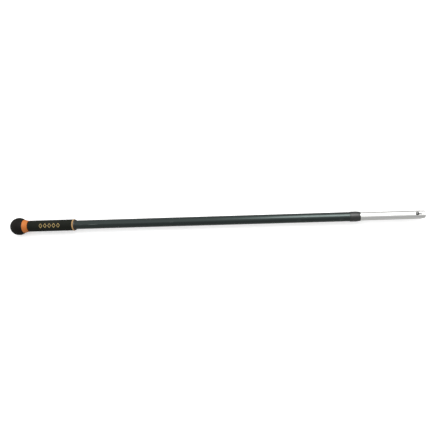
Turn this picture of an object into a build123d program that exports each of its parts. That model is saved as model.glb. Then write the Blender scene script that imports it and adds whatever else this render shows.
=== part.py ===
from build123d import *
from math import sqrt
import os

# A two-section telescopic pole for a paint roller, pad or frame head.
#
# The pole lies along X, in millimetres, with +Z up. The origin is the centre of the tool end's face, and the
# pole runs from there along -X to a swivelling ball knob. Pushed together it is 1150 mm long.
#
# From the knob end it holds: the ball knob on its spindle, a soft grip on the outer tube, the outer tube with
# a collar at its mouth, and the inner tube. The inner tube locks by a twist: its threaded spindle draws a
# cone nut and a fixed cone into the two ends of a split expander sleeve, which grips the outer tube's bore. A
# sprung button near the tool end snaps into a tool's socket.

# ---------------------------------------------------------------- driving dimensions
OVERALL = 1150.0
OUTER_TUBE_D = 25.0
INNER_TUBE_D = 22.4
TUBE_WALL = 1.0
BALL_D = 50.0
GRIP_D = 32.0
GRIP_LENGTH = 133.5
RUNNING_GAP = 0.05  # radial gap of a fit that turns or slides

# radii worked out from them
OUTER_R = OUTER_TUBE_D / 2
OUTER_BORE_R = OUTER_R - TUBE_WALL
INNER_R = INNER_TUBE_D / 2
INNER_BORE_R = INNER_R - TUBE_WALL
BALL_R = BALL_D / 2
GRIP_R = GRIP_D / 2


def butt(distance):
    """The X of a point that far from the knob's end of the pole."""
    return distance - OVERALL


# ---------------------------------------------------------------- stations along the pole
BALL_X = butt(BALL_R)
COVER_RIM = BALL_X + 16.0
KNOB_FRONT = butt(55.5)
KNOB_GAP = 1.5
GRIP_BACK = KNOB_FRONT + KNOB_GAP
TUBE_BACK = GRIP_BACK + 3.0
GRIP_FRONT = GRIP_BACK + GRIP_LENGTH
RING_FRONT = GRIP_FRONT + 3.8
FERRULE_LIP_FRONT = RING_FRONT + 1.2
FERRULE_FRONT = RING_FRONT + 4.4
COLLAR_BACK = butt(959.6)
TUBE_MOUTH = butt(968.0)
BUSH_FRONT = TUBE_MOUTH + 9.0
WIPER_FRONT = BUSH_FRONT + 2.5
WIPER_R = 12.2
COLLAR_FRONT = butt(986.7)
INNER_TUBE_BACK = butt(162.0)

# ---------------------------------------------------------------- knob swivel
SPINDLE_R = 4.0
SPINDLE_BACK = butt(19.0)
SPINDLE_FRONT = butt(82.0)
CLIP_GROOVE_R = 3.4
CLIP_X = butt(21.0)
CLIP_THICK = 1.0
COVER_THICK = 2.5
KNOB_BUSH_R = 6.0
BUSH_FLANGE_R = 9.0
BUSH_FLANGE_THICK = 1.5
COLLAR_SPIGOT_R = 14.0
COLLAR_WALL = 2.0
WASHER_REACH = 0.8  # how far the plug's bearing face stands out of the grip
KNOB_CAVITY_R = 9.0
KNOB_BUSH_BACK = butt(23.7)
PLUG_FLANGE_R = 14.4
PLUG_FRONT = butt(87.0)
PIN_R = 1.5
PIN_SHORT = 0.2  # a cross pin stops this far below the tube's skin
PLUG_PIN_X = butt(84.5)

# ---------------------------------------------------------------- twist lock
STUD_R = 4.0
STUD_BACK = butt(92.0)
STUD_FRONT = butt(180.0)
TAIL_GUIDE_LENGTH = 8.0
TAIL_SCREW_R = 2.0
TAIL_HOLE = 14.0  # depth of the screw's hole in the spindle
NUT_BACK = butt(102.3)
NUT_CONE_BACK = butt(112.0)
NUT_FRONT = butt(122.0)
EXPANDER_BACK = butt(116.0)
EXPANDER_FRONT = butt(150.0)
EXPANDER_R = OUTER_BORE_R - 0.08
PLUG_CONE_BACK = butt(144.0)
PLUG_CONE_FRONT = butt(154.0)
PLUG_SHOULDER = butt(156.0)
LOCK_PLUG_FRONT = butt(194.0)
CONE_SMALL_R = 6.6
CONE_LARGE_R = 10.4
CONE_GAP = 0.3  # radial gap between a cone and the expander sleeve
SLIT_WIDTH = 2.6
SLIT_LENGTH = 26.0
LUG_WIDTH = 2.0
DRAG_RING_X = butt(133.0)
DRAG_RING_WIDTH = 4.0
LOCK_PIN_X = butt(186.0)
PLUG_FIT = 0.05  # the lock plug's flange is this much inside the tube's skin

# ---------------------------------------------------------------- tool end
LEAD_LENGTH = 11.0
LEAD_DEPTH = 0.35
BUTTON_X = -21.0
BUTTON_R = 4.5
BUTTON_HOLE_R = 4.65
BUTTON_TOP = 14.2
BUTTON_DOME_R = 9.0
BUTTON_BASE_R = 5.3
BUTTON_BASE_LOW = 7.3
BUTTON_BASE_HIGH = 8.5
SLOT_WIDTH = 3.2
SLOT_END_X = -9.5
BEVEL_LENGTH = 8.0
BEVEL_DEPTH = 3.6
BEVEL_TURN = -70.0  # degrees about X, from straight down towards -Y
SPRING_THICK = 0.6
SPRING_WIDTH = 8.0
SPRING_BEND_X = -62.0
SPRING_LOW_Z = -9.0
SPRING_TIP_X = -11.5


# ---------------------------------------------------------------- helpers
def turned(*outline):
    """The solid made by turning a closed (x, radius) outline round the pole's axis."""
    return revolve(make_face(Polyline(*outline, close=True)), Axis.X)


def ring(x0, x1, bore_r, outer_r, chamfer_out=0.0):
    """A ring round the pole's axis, with its two outer corners cut off."""
    c = chamfer_out
    if not c:
        return turned((x0, bore_r), (x0, outer_r), (x1, outer_r), (x1, bore_r))
    return turned(
        (x0, bore_r),
        (x0, outer_r - c),
        (x0 + c, outer_r),
        (x1 - c, outer_r),
        (x1, outer_r - c),
        (x1, bore_r),
    )


def cross_pin(x, half_length):
    """A pin across the pole along Y."""
    return Pos(x, 0, 0) * Rot(X=90) * Cylinder(PIN_R, 2 * half_length)


def slab(x0, x1, y0, y1, z0, z1):
    """A block between two corners."""
    centre = Pos((x0 + x1) / 2, (y0 + y1) / 2, (z0 + z1) / 2)
    return centre * Box(x1 - x0, y1 - y0, z1 - z0)


# ---------------------------------------------------------------- knob, which turns on its spindle
def knob_cover():
    """Soft rubber cap over the ball, open towards the grip."""
    shell = Pos(BALL_X, 0, 0) * (Sphere(BALL_R) - Sphere(BALL_R - COVER_THICK))
    return shell - slab(COVER_RIM, COVER_RIM + BALL_D, -BALL_R, BALL_R, -BALL_R, BALL_R)


def knob_core():
    """Hard ball inside the cap, bored for the bush, with a spigot for the collar."""
    ball = Pos(BALL_X, 0, 0) * Sphere(BALL_R - COVER_THICK)
    ball -= slab(COVER_RIM, COVER_RIM + BALL_D, -BALL_R, BALL_R, -BALL_R, BALL_R)
    spigot = ring(COVER_RIM, KNOB_FRONT - COLLAR_WALL, KNOB_BUSH_R, COLLAR_SPIGOT_R)
    cavity = turned(
        (butt(0), 0),
        (butt(0), KNOB_CAVITY_R),
        (KNOB_BUSH_BACK, KNOB_CAVITY_R),
        (KNOB_BUSH_BACK, KNOB_BUSH_R),
        (COVER_RIM, KNOB_BUSH_R),
        (COVER_RIM, 0),
    )
    return ball - cavity + spigot


def knob_collar():
    """Coloured neck between the ball and the grip, hollowed in a shallow curve."""
    rim_r = sqrt(BALL_R**2 - (COVER_RIM - BALL_X) ** 2)
    front_r = GRIP_R + 0.2
    edge = 0.6
    crown = 1.6
    start = (COVER_RIM, rim_r)
    crest = (COVER_RIM + crown, rim_r + 0.1)
    end = (KNOB_FRONT - edge, front_r)
    middle = ((crest[0] + end[0]) / 2, (crest[1] + end[1]) / 2 - 0.7)
    outline = (
        Line(start, crest)
        + ThreePointArc(crest, middle, end)
        + Polyline(
            end,
            (KNOB_FRONT, front_r - edge),
            (KNOB_FRONT, BUSH_FLANGE_R + 0.5),
            (KNOB_FRONT - COLLAR_WALL, BUSH_FLANGE_R + 0.5),
            (KNOB_FRONT - COLLAR_WALL, COLLAR_SPIGOT_R),
            (COVER_RIM, COLLAR_SPIGOT_R),
            start,
        )
    )
    return revolve(make_face(outline), Axis.X)


def knob_bush():
    """Plain bearing pressed into the core, with a thrust flange at its front."""
    bore_r = SPINDLE_R + RUNNING_GAP
    flange_back = KNOB_FRONT - COLLAR_WALL
    return turned(
        (KNOB_BUSH_BACK, bore_r),
        (KNOB_BUSH_BACK, KNOB_BUSH_R),
        (flange_back, KNOB_BUSH_R),
        (flange_back, BUSH_FLANGE_R),
        (flange_back + BUSH_FLANGE_THICK, BUSH_FLANGE_R),
        (flange_back + BUSH_FLANGE_THICK, bore_r),
    )


def swivel_spindle():
    """Steel pin that the knob turns on, pressed into the end plug, grooved for its clip."""
    edge = 0.6
    return turned(
        (SPINDLE_BACK, 0),
        (SPINDLE_BACK, SPINDLE_R - edge),
        (SPINDLE_BACK + edge, SPINDLE_R),
        (CLIP_X, SPINDLE_R),
        (CLIP_X, CLIP_GROOVE_R),
        (CLIP_X + CLIP_THICK + 0.1, CLIP_GROOVE_R),
        (CLIP_X + CLIP_THICK + 0.1, SPINDLE_R),
        (SPINDLE_FRONT - edge, SPINDLE_R),
        (SPINDLE_FRONT, SPINDLE_R - edge),
        (SPINDLE_FRONT, 0),
    )


def retaining_clip():
    """E-shaped clip snapped into the spindle's groove from the side."""
    clip_r = 7.0
    mouth = 5.6
    x0 = CLIP_X + 0.05
    disc = ring(x0, x0 + CLIP_THICK, CLIP_GROOVE_R, clip_r)
    return disc - slab(x0, x0 + CLIP_THICK, 0, clip_r + 1, -mouth / 2, mouth / 2)


def retaining_washer():
    """Steel washer that the clip bears on, inside the core's cavity."""
    x0 = CLIP_X + CLIP_THICK + 0.3
    return ring(x0, x0 + 1.2, SPINDLE_R + 0.1, KNOB_CAVITY_R - 1.0)


def thrust_washer():
    """Low-friction washer between the knob's bush and the end plug."""
    x1 = GRIP_BACK - WASHER_REACH
    return ring(x1 - 1.0, x1, SPINDLE_R + 0.1, BUSH_FLANGE_R)


# ---------------------------------------------------------------- outer section
def end_plug():
    """Moulded plug in the outer tube's back end that carries the spindle."""
    body = turned(
        (GRIP_BACK - WASHER_REACH, 0),
        (GRIP_BACK - WASHER_REACH, BUSH_FLANGE_R),
        (GRIP_BACK, BUSH_FLANGE_R),
        (GRIP_BACK, PLUG_FLANGE_R),
        (TUBE_BACK, PLUG_FLANGE_R),
        (TUBE_BACK, OUTER_BORE_R),
        (PLUG_FRONT - 1.0, OUTER_BORE_R),
        (PLUG_FRONT, OUTER_BORE_R - 1.0),
        (PLUG_FRONT, 0),
    )
    spindle_hole = turned(
        (GRIP_BACK - WASHER_REACH, 0),
        (GRIP_BACK - WASHER_REACH, SPINDLE_R),
        (SPINDLE_FRONT, SPINDLE_R),
        (SPINDLE_FRONT, 0),
    )
    return body - spindle_hole - cross_pin(PLUG_PIN_X, OUTER_R)


def outer_tube():
    """Anodised tube, cross-drilled near its back end for the plug's pin."""
    tube = ring(TUBE_BACK, TUBE_MOUTH, OUTER_BORE_R, OUTER_R)
    return tube - cross_pin(PLUG_PIN_X, 2 * OUTER_R)


def plug_pin():
    """Pin across the outer tube that holds the end plug, hidden under the grip."""
    return cross_pin(PLUG_PIN_X, OUTER_R - PIN_SHORT)


def grip_sleeve():
    """Soft sleeve on the outer tube, with rounded back corner and a seat for the plug's flange."""
    corner = 1.0
    return turned(
        (GRIP_BACK, PLUG_FLANGE_R),
        (GRIP_BACK, GRIP_R - corner),
        (GRIP_BACK + 0.3 * corner, GRIP_R - 0.3 * corner),
        (GRIP_BACK + corner, GRIP_R),
        (GRIP_FRONT, GRIP_R),
        (GRIP_FRONT, OUTER_R),
        (TUBE_BACK, OUTER_R),
        (TUBE_BACK, PLUG_FLANGE_R),
    )


def grip_ring():
    """Coloured bead at the front of the grip, held between the sleeve and the ferrule."""
    crest_r = GRIP_R + 0.7
    seat_r = COLLAR_SPIGOT_R
    middle = (GRIP_FRONT + RING_FRONT) / 2
    shoulder_r = GRIP_R - 0.4
    outline = (
        Polyline(
            (RING_FRONT, shoulder_r),
            (RING_FRONT, seat_r),
            (GRIP_FRONT, seat_r),
            (GRIP_FRONT, shoulder_r),
        )
        + ThreePointArc((GRIP_FRONT, shoulder_r), (middle, crest_r), (RING_FRONT, shoulder_r))
    )
    return revolve(make_face(outline), Axis.X)


def grip_ferrule():
    """Hard end piece that closes the grip's front and carries the ring on its spigot."""
    lip_r = GRIP_R - 0.7
    nose_r = OUTER_R + 0.9
    arc_x = (FERRULE_LIP_FRONT + FERRULE_FRONT) / 2 + 0.3
    outline = (
        Polyline(
            (FERRULE_FRONT, nose_r),
            (FERRULE_FRONT, OUTER_R),
            (GRIP_FRONT, OUTER_R),
            (GRIP_FRONT, COLLAR_SPIGOT_R),
            (RING_FRONT, COLLAR_SPIGOT_R),
            (RING_FRONT, lip_r),
            (FERRULE_LIP_FRONT, lip_r),
        )
        + ThreePointArc(
            (FERRULE_LIP_FRONT, lip_r),
            (arc_x, (lip_r + nose_r) / 2 + 0.4),
            (FERRULE_FRONT, nose_r),
        )
    )
    return revolve(make_face(outline), Axis.X)


def tube_collar():
    """Hard collar on the outer tube's mouth, which tapers to a nose round the inner tube."""
    collar_r = 13.6
    shoulder = COLLAR_BACK + 15.2
    nose_r = 12.25
    nose_bore_r = INNER_R + 0.3
    outline = (
        Polyline(
            (COLLAR_FRONT - 0.5, nose_r),
            (COLLAR_FRONT, nose_r - 0.35),
            (COLLAR_FRONT, nose_bore_r),
            (WIPER_FRONT, nose_bore_r),
            (WIPER_FRONT, WIPER_R),
            (BUSH_FRONT, WIPER_R),
            (BUSH_FRONT, OUTER_R),
            (COLLAR_BACK, OUTER_R),
            (COLLAR_BACK, OUTER_R + 0.4),
            (COLLAR_BACK + 0.7, collar_r - 0.25),
            (COLLAR_BACK + 1.4, collar_r),
            (shoulder, collar_r),
        )
        + ThreePointArc(
            (shoulder, collar_r),
            (shoulder + 5.6, collar_r - 0.45),
            (COLLAR_FRONT - 0.5, nose_r),
        )
    )
    return revolve(make_face(outline), Axis.X)


def guide_bush():
    """Slide bearing for the inner tube, held between the tube's mouth and the collar."""
    return ring(TUBE_MOUTH, BUSH_FRONT, INNER_R + RUNNING_GAP, OUTER_R)


def wiper_ring():
    """Felt ring that keeps grit out of the bush."""
    return ring(BUSH_FRONT, WIPER_FRONT, INNER_R + RUNNING_GAP, WIPER_R)


# ---------------------------------------------------------------- twist lock
def expander_sleeve():
    """Split sleeve with a conical seat in each end, slit from both ends in turn."""
    mouth_r = CONE_LARGE_R - (CONE_LARGE_R - CONE_SMALL_R) * 0.4 + CONE_GAP
    throat_r = CONE_SMALL_R + CONE_GAP
    groove_r = EXPANDER_R - 1.0
    half = DRAG_RING_WIDTH / 2
    body = turned(
        (EXPANDER_BACK, mouth_r),
        (EXPANDER_BACK, EXPANDER_R - 0.5),
        (EXPANDER_BACK + 0.5, EXPANDER_R),
        (DRAG_RING_X - half, EXPANDER_R),
        (DRAG_RING_X - half, groove_r),
        (DRAG_RING_X + half, groove_r),
        (DRAG_RING_X + half, EXPANDER_R),
        (EXPANDER_FRONT - 0.5, EXPANDER_R),
        (EXPANDER_FRONT, EXPANDER_R - 0.5),
        (EXPANDER_FRONT, mouth_r),
        (PLUG_CONE_BACK, throat_r),
        (NUT_FRONT, throat_r),
    )
    half_slit = SLIT_WIDTH / 2
    reach = EXPANDER_R + 1
    back_slit = slab(EXPANDER_BACK, EXPANDER_BACK + SLIT_LENGTH, -half_slit, half_slit, -reach, reach)
    front_slit = slab(EXPANDER_FRONT - SLIT_LENGTH, EXPANDER_FRONT, -reach, reach, -half_slit, half_slit)
    return body - back_slit - front_slit


def drag_ring():
    """Rubber ring in the sleeve's groove that rubs on the bore, so that the sleeve doesn't turn."""
    half = DRAG_RING_WIDTH / 2
    return ring(DRAG_RING_X - half, DRAG_RING_X + half, EXPANDER_R - 1.0, OUTER_BORE_R - RUNNING_GAP, 0.3)


def cone_nut():
    """Nut on the lock's thread, with a cone for the sleeve's back end and two lugs in its slits."""
    body = turned(
        (NUT_BACK, STUD_R + RUNNING_GAP),
        (NUT_BACK, CONE_LARGE_R - 0.6),
        (NUT_BACK + 0.6, CONE_LARGE_R),
        (NUT_CONE_BACK, CONE_LARGE_R),
        (NUT_FRONT, CONE_SMALL_R),
        (NUT_FRONT, STUD_R + RUNNING_GAP),
    )
    half = LUG_WIDTH / 2
    lug_r = CONE_LARGE_R + 0.4
    lug_front = NUT_FRONT - 1.0
    for side in (1, -1):
        low, high = sorted((side * (STUD_R + 1.5), side * lug_r))
        body += slab(NUT_CONE_BACK, lug_front, -half, half, low, high)
    return body


def lock_plug():
    """Plug in the inner tube's back end, with the lock's fixed cone."""
    body = turned(
        (PLUG_CONE_BACK, STUD_R),
        (PLUG_CONE_BACK, CONE_SMALL_R),
        (PLUG_CONE_FRONT, CONE_LARGE_R),
        (PLUG_SHOULDER, CONE_LARGE_R),
        (PLUG_SHOULDER, INNER_R - PLUG_FIT),
        (INNER_TUBE_BACK, INNER_R - PLUG_FIT),
        (INNER_TUBE_BACK, INNER_BORE_R),
        (LOCK_PLUG_FRONT - 1.0, INNER_BORE_R),
        (LOCK_PLUG_FRONT, INNER_BORE_R - 1.0),
        (LOCK_PLUG_FRONT, 0),
        (STUD_FRONT, 0),
        (STUD_FRONT, STUD_R),
    )
    return body - cross_pin(LOCK_PIN_X, OUTER_R)


def lock_spindle():
    """Steel spindle of the lock, fast in the lock plug. Its thread is drawn as a plain cylinder."""
    edge = 0.5
    return turned(
        (STUD_BACK, TAIL_SCREW_R),
        (STUD_BACK, STUD_R - edge),
        (STUD_BACK + edge, STUD_R),
        (STUD_FRONT, STUD_R),
        (STUD_FRONT, 0),
        (STUD_BACK + TAIL_HOLE, 0),
        (STUD_BACK + TAIL_HOLE, TAIL_SCREW_R),
    )


def tail_guide():
    """Ring on the spindle's free end that keeps the inner section central in the outer tube."""
    return ring(STUD_BACK, STUD_BACK + TAIL_GUIDE_LENGTH, STUD_R, OUTER_BORE_R - 0.1, 1.0)


def tail_screw():
    """Screw in the spindle's free end that holds the tail guide, with a cross recess."""
    head_r = 6.5
    head_thick = 2.5
    shank_length = 12.0
    x0 = STUD_BACK - head_thick
    screw = turned(
        (x0, 0),
        (x0, head_r - 0.8),
        (x0 + 0.8, head_r),
        (STUD_BACK, head_r),
        (STUD_BACK, TAIL_SCREW_R),
        (STUD_BACK + shank_length, TAIL_SCREW_R),
        (STUD_BACK + shank_length, 0),
    )
    arm, half = 2.6, 0.5
    recess = slab(x0, x0 + 1.4, -arm, arm, -half, half) + slab(x0, x0 + 1.4, -half, half, -arm, arm)
    return screw - recess


def lock_pin():
    """Pin across the inner tube that holds the lock plug."""
    return cross_pin(LOCK_PIN_X, INNER_R - PIN_SHORT)


# ---------------------------------------------------------------- inner section
def key_bevel():
    """The wedge cut off one side of the tool end, so that a tool goes on one way round only."""
    side_z = -INNER_R
    outline = Polyline(
        (-BEVEL_LENGTH, side_z),
        (-BEVEL_LENGTH, side_z - 1),
        (1, side_z - 1),
        (1, side_z + BEVEL_DEPTH),
        (0, side_z + BEVEL_DEPTH),
        close=True,
    )
    return Rot(X=BEVEL_TURN) * extrude(make_face(Plane.XZ * outline), INNER_TUBE_D, both=True)


def inner_tube():
    """Bare tube, with the tool end's narrower lead-in, button hole with its slot, and key bevel."""
    lead_r = INNER_R - LEAD_DEPTH
    tube = turned(
        (INNER_TUBE_BACK, INNER_BORE_R),
        (INNER_TUBE_BACK, INNER_R),
        (-LEAD_LENGTH - LEAD_DEPTH, INNER_R),
        (-LEAD_LENGTH, lead_r),
        (0, lead_r),
        (0, INNER_BORE_R),
    )
    hole = Pos(BUTTON_X, 0, INNER_R) * Cylinder(BUTTON_HOLE_R, INNER_R)
    slot_end = SLOT_END_X - SLOT_WIDTH / 2
    slot = slab(BUTTON_X, slot_end, -SLOT_WIDTH / 2, SLOT_WIDTH / 2, INNER_R / 2, INNER_R * 1.5)
    slot += Pos(slot_end, 0, INNER_R) * Cylinder(SLOT_WIDTH / 2, INNER_R)
    return tube - hole - slot - key_bevel() - cross_pin(LOCK_PIN_X, 2 * INNER_R)


def snap_button():
    """Domed button with a base flange that stops under the tube's wall."""
    base = BUTTON_BASE_HIGH - BUTTON_BASE_LOW
    flange = Pos(BUTTON_X, 0, BUTTON_BASE_LOW + base / 2) * Cylinder(BUTTON_BASE_R, base)
    height = BUTTON_TOP - BUTTON_BASE_LOW
    stem = Pos(BUTTON_X, 0, BUTTON_BASE_LOW + height / 2) * Cylinder(BUTTON_R, height)
    dome = Pos(BUTTON_X, 0, BUTTON_TOP - BUTTON_DOME_R) * Sphere(BUTTON_DOME_R)
    below = slab(
        BUTTON_X - BUTTON_R, BUTTON_X + BUTTON_R, -BUTTON_R, BUTTON_R, BUTTON_BASE_LOW, BUTTON_TOP - 3.0
    )
    return flange + stem & (dome + below + flange)


def button_spring():
    """Bent leaf spring: one leg lies along the bore, the other carries the button."""
    arm_z = BUTTON_BASE_LOW - SPRING_THICK / 2
    bend_r = 2.6
    path = FilletPolyline(
        (SPRING_TIP_X, 0, SPRING_LOW_Z),
        (SPRING_BEND_X, 0, SPRING_LOW_Z),
        (SPRING_BEND_X + 1.5, 0, SPRING_LOW_Z + 5.4),
        (BUTTON_X - 9.0, 0, arm_z),
        (SPRING_TIP_X, 0, arm_z),
        radius=bend_r,
    )
    start = Plane(origin=path @ 0, z_dir=path % 0, x_dir=(0, 1, 0))
    return sweep(start * Rectangle(SPRING_WIDTH, SPRING_THICK), path=path)


NODES = (
    knob_cover,
    knob_core,
    knob_collar,
    knob_bush,
    swivel_spindle,
    retaining_clip,
    retaining_washer,
    thrust_washer,
    end_plug,
    outer_tube,
    plug_pin,
    grip_sleeve,
    grip_ring,
    grip_ferrule,
    tube_collar,
    guide_bush,
    wiper_ring,
    expander_sleeve,
    drag_ring,
    cone_nut,
    lock_plug,
    lock_spindle,
    tail_guide,
    tail_screw,
    lock_pin,
    inner_tube,
    snap_button,
    button_spring,
)

os.makedirs("parts", exist_ok=True)
for make in NODES:
    export_step(make(), f"parts/{make.__name__}.step")
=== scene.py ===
# %% [markdown]
# # A two-section telescopic pole for a roller or pad head
#
# This script dresses a packed, jointed pole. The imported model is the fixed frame: it says where each piece
# is and which body it moves with. Here each visible piece is made again as a clean mesh with rounded edges,
# and gets a finish worked out by shader nodes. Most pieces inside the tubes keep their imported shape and
# get a finish too. Everything is in metres. The pole lies along X, the tool end's face is at X = 0, and +Z
# is up.

# %% Load the frame
from math import acos, asin, cos, pi, radians, sin, tan

import bmesh
import bpy
from mathutils import Matrix, Vector


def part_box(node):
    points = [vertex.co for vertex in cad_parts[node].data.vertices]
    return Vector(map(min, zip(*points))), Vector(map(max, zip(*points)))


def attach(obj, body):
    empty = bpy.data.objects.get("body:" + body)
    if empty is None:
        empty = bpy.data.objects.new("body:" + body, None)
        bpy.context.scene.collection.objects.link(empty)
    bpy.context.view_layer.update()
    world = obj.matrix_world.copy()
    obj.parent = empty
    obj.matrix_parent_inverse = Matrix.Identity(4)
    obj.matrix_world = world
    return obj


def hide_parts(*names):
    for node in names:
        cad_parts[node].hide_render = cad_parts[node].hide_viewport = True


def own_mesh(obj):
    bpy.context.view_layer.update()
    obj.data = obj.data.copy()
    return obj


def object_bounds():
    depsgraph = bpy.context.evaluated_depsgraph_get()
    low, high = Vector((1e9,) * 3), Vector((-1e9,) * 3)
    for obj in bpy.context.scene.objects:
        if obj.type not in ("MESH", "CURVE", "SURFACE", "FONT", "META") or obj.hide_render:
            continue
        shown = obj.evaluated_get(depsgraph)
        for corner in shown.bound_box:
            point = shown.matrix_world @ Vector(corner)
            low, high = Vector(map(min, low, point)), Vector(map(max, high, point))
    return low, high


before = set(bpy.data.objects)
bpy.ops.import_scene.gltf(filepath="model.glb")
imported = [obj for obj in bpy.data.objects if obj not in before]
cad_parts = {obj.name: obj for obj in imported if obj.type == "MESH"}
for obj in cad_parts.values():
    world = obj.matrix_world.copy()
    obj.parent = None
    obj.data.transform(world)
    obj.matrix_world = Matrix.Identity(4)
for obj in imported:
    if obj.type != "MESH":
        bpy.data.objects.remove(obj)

MM = 0.001
cad_low, cad_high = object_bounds()
print("frame box, mm:", [round(v / MM, 1) for v in (*cad_low, *cad_high)])

# %% [markdown]
# ## Reading sizes from the frame
#
# Nearly every piece of a pole is turned round the pole's axis, so three numbers place it: where it starts,
# where it ends and its outer radius. They could be typed in again, but then the picture and the packed
# model could drift apart, so they are read from the frame.


# %% Span of a turned piece
def span(node):
    """First X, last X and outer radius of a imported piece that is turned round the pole's axis."""
    low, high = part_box(node)
    return low.x, high.x, max(high.y, high.z)


TUBE_START, TUBE_MOUTH, OUTER_R = span("outer_tube")
INNER_START, TOOL_FACE, INNER_R = span("inner_tube")
WALL = 1.0 * MM
SPIGOT_R = 14.0 * MM  # seat of the knob's neck, the grip's ring and its ferrule
PLUG_FLANGE_R = 14.4 * MM
print(f"outer tube {2 * OUTER_R / MM:.1f} mm across, inner tube {2 * INNER_R / MM:.1f} mm across")

# %% [markdown]
# ## A small kit for node trees
#
# Shader and geometry trees are built from the same three moves: add a node, set it up, and join its inputs.
# One helper does all three. A value that is a socket is linked, and any other value is typed into the
# input. The smaller helpers after it name the nodes that are used most.


# %% Adding nodes
def place(tree, kind, joined=None, **settings):
    """Adds a node and sets it up.

    settings are its properties. joined gives its inputs, by name or number, a value or a socket each.
    """
    made = tree.nodes.new(kind)
    for key, value in settings.items():
        setattr(made, key, value)
    for key, value in (joined or {}).items():
        if isinstance(value, bpy.types.NodeSocket):
            tree.links.new(value, made.inputs[key])
        else:
            made.inputs[key].default_value = value
    return made


def calculate(tree, operation, *values):
    """The result of a Math node."""
    return place(tree, "ShaderNodeMath", dict(enumerate(values)), operation=operation).outputs[0]


def remap(tree, value, low, high, new_low, new_high):
    """A value's range moved to another range, and held inside it."""
    joined = {"Value": value, "From Min": low, "From Max": high, "To Min": new_low, "To Max": new_high}
    return place(tree, "ShaderNodeMapRange", joined).outputs["Result"]


def combine(tree, x=0.0, y=0.0, z=0.0):
    """A vector made of three values."""
    return place(tree, "ShaderNodeCombineXYZ", {"X": x, "Y": y, "Z": z}).outputs[0]


def separate(tree, vector):
    """The three parts of a vector, by name."""
    return place(tree, "ShaderNodeSeparateXYZ", {0: vector}).outputs


def noise(tree, at, scale, detail, roughness=0.5):
    """Noise between 0 and 1, with cells of 1 / scale."""
    joined = {"Vector": at, "Scale": scale, "Detail": detail, "Roughness": roughness}
    return place(tree, "ShaderNodeTexNoise", joined).outputs["Fac"]


def open_group(name, kind, inputs, outputs):
    """A node group with named sockets: inputs are (name, type, default), outputs are (name, type)."""
    group = bpy.data.node_groups.new(name, kind)
    for label, socket_type, default in inputs:
        socket = group.interface.new_socket(label, in_out="INPUT", socket_type=socket_type)
        if default is not None:
            socket.default_value = default
    for label, socket_type in outputs:
        group.interface.new_socket(label, in_out="OUTPUT", socket_type=socket_type)
    return group, group.nodes.new("NodeGroupInput").outputs, group.nodes.new("NodeGroupOutput")


def close_group(group, result, **values):
    """Joins finished values to the group's outputs, by name."""
    for label, value in values.items():
        group.links.new(value, result.inputs[label])
    print(f"{group.name}: {len(group.nodes)} nodes")


FLOAT = "NodeSocketFloat"
SHADER = "ShaderNodeTree"

# %% [markdown]
# ## Effect 1: moulded grain
#
# Rubber and plastic parts copy the skin of the steel mould, which is eroded to a fine even grain. A picture
# of grain would need unwrapping and would stretch over the ball, so the grain is noise in three dimensions,
# read from Object coordinates. Two sizes are mixed, because a real mould skin has fine pits on broader
# hills. The group also gives a slow shade, for the slight clouding that handling leaves.

# %% Group: moulded grain
moulded_grain, given, result = open_group(
    "Moulded grain",
    SHADER,
    [("Grain per metre", FLOAT, 1500.0), ("Cloud per metre", FLOAT, 30.0)],
    [("Height", FLOAT), ("Shade", FLOAT)],
)
at = place(moulded_grain, "ShaderNodeTexCoord").outputs["Object"]
pits = noise(moulded_grain, at, given["Grain per metre"], 3.0, 0.6)
hill_scale = calculate(moulded_grain, "MULTIPLY", given["Grain per metre"], 0.35)
hills = place(moulded_grain, "ShaderNodeTexVoronoi", {"Vector": at, "Scale": hill_scale}, feature="SMOOTH_F1")
clouds = noise(moulded_grain, at, given["Cloud per metre"], 4.0, 0.55)
grain_sum = calculate(moulded_grain, "ADD", pits, hills.outputs["Distance"])
height = calculate(moulded_grain, "MULTIPLY", grain_sum, 0.5)
shade = remap(moulded_grain, clouds, 0.3, 0.7, 0.0, 1.0)
close_group(moulded_grain, result, Height=height, Shade=shade)

# %% [markdown]
# ## Effect 2: drawn lines and slide scratches
#
# A tube is pulled through a die, which leaves faint lines along its whole length, and sliding in and out of
# its bush adds a few bolder, shorter scratches. Both run along X. Squeezing the X coordinate before it
# reaches the noise stretches each cell into a line, and on a round tube the lines then follow the surface by
# themselves. Scratches are the same idea with wider, shorter cells, of which only the crests are kept.

# %% Group: drawn lines
drawn_lines, given, result = open_group(
    "Drawn lines",
    SHADER,
    [("Lines per metre", FLOAT, 2600.0), ("Squeeze", FLOAT, 0.004), ("Scratch level", FLOAT, 0.68)],
    [("Height", FLOAT), ("Streak", FLOAT), ("Scratch", FLOAT)],
)
at = place(drawn_lines, "ShaderNodeTexCoord").outputs["Object"]
parts = separate(drawn_lines, at)
squeezed_x = calculate(drawn_lines, "MULTIPLY", parts["X"], given["Squeeze"])
along = combine(drawn_lines, squeezed_x, parts["Y"], parts["Z"])
fine = noise(drawn_lines, along, given["Lines per metre"], 2.0, 0.7)
broad_scale = calculate(drawn_lines, "MULTIPLY", given["Lines per metre"], 0.12)
broad = noise(drawn_lines, along, broad_scale, 3.0)
scratch_scale = calculate(drawn_lines, "MULTIPLY", given["Lines per metre"], 0.3)
scratch_x = calculate(drawn_lines, "MULTIPLY", squeezed_x, 6.0)
crests = noise(drawn_lines, combine(drawn_lines, scratch_x, parts["Y"], parts["Z"]), scratch_scale, 1.0)
scratch_full = calculate(drawn_lines, "ADD", given["Scratch level"], 0.05)
scratch = remap(drawn_lines, crests, given["Scratch level"], scratch_full, 0.0, 1.0)
streak = remap(drawn_lines, broad, 0.3, 0.7, 0.0, 1.0)
close_group(drawn_lines, result, Height=fine, Streak=streak, Scratch=scratch)

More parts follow.
